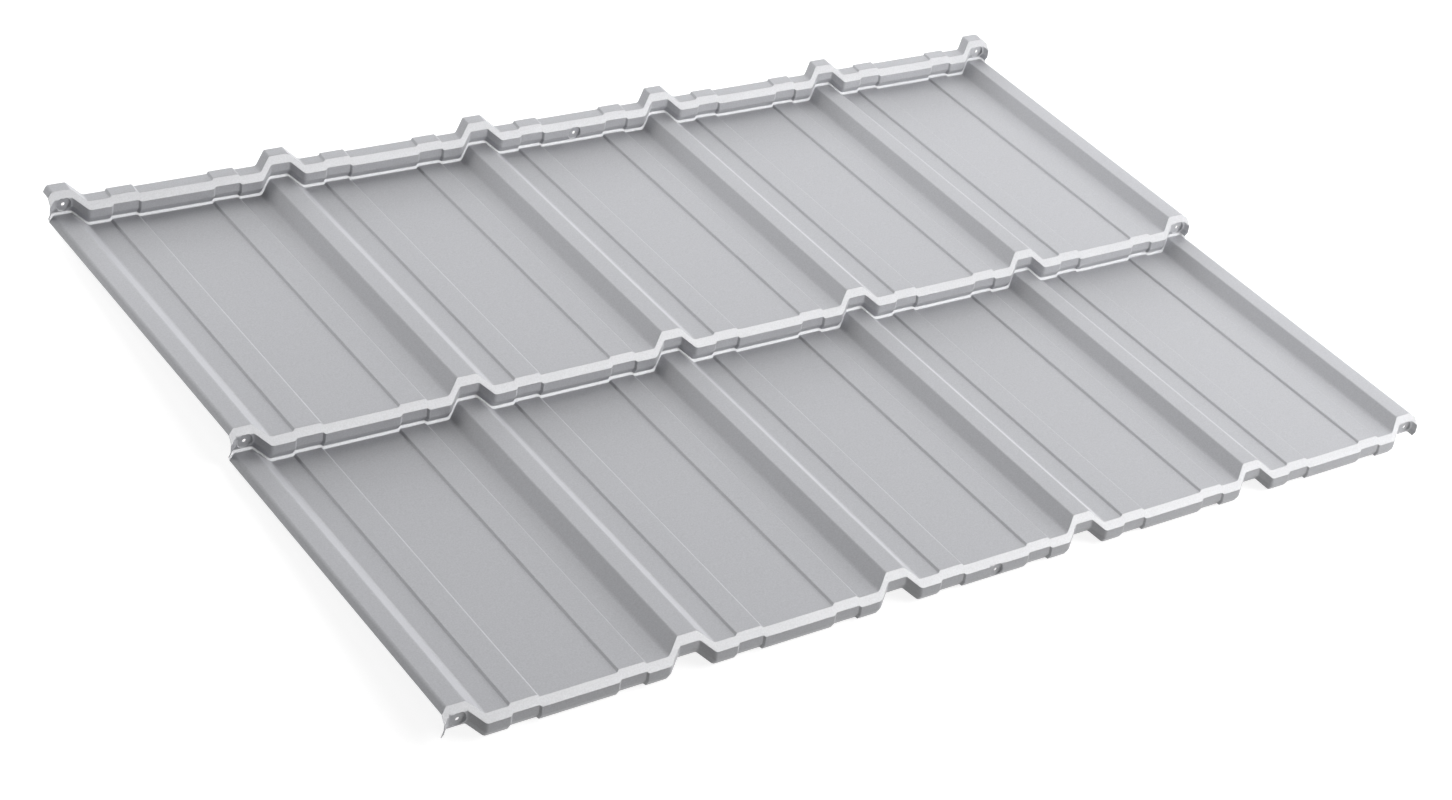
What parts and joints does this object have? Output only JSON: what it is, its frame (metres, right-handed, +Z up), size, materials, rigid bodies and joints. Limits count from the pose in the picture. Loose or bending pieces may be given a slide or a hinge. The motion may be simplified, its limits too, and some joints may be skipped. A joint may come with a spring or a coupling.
{
  "type": "metal roof tile sheet",
  "caption": "Stepped metal roof tile sheet with ribs, low bands in the pans, chamfered noses and round screw seats, pressed from thin coated steel.",
  "frame": {"origin": "on the floor under the middle of the sheet", "axes": "+X across the slope to the right as seen from the eaves, +Y up the slope, +Z up out of the weather face"},
  "size_m": [1.1596, 0.7298, 0.0307],
  "materials": {
    "coated_steel": "matte, finely grained light grey coat"
  },
  "bodies": {
    "root": {"roof_tile_sheet": "coated_steel"}
  },
  "joints": []
}
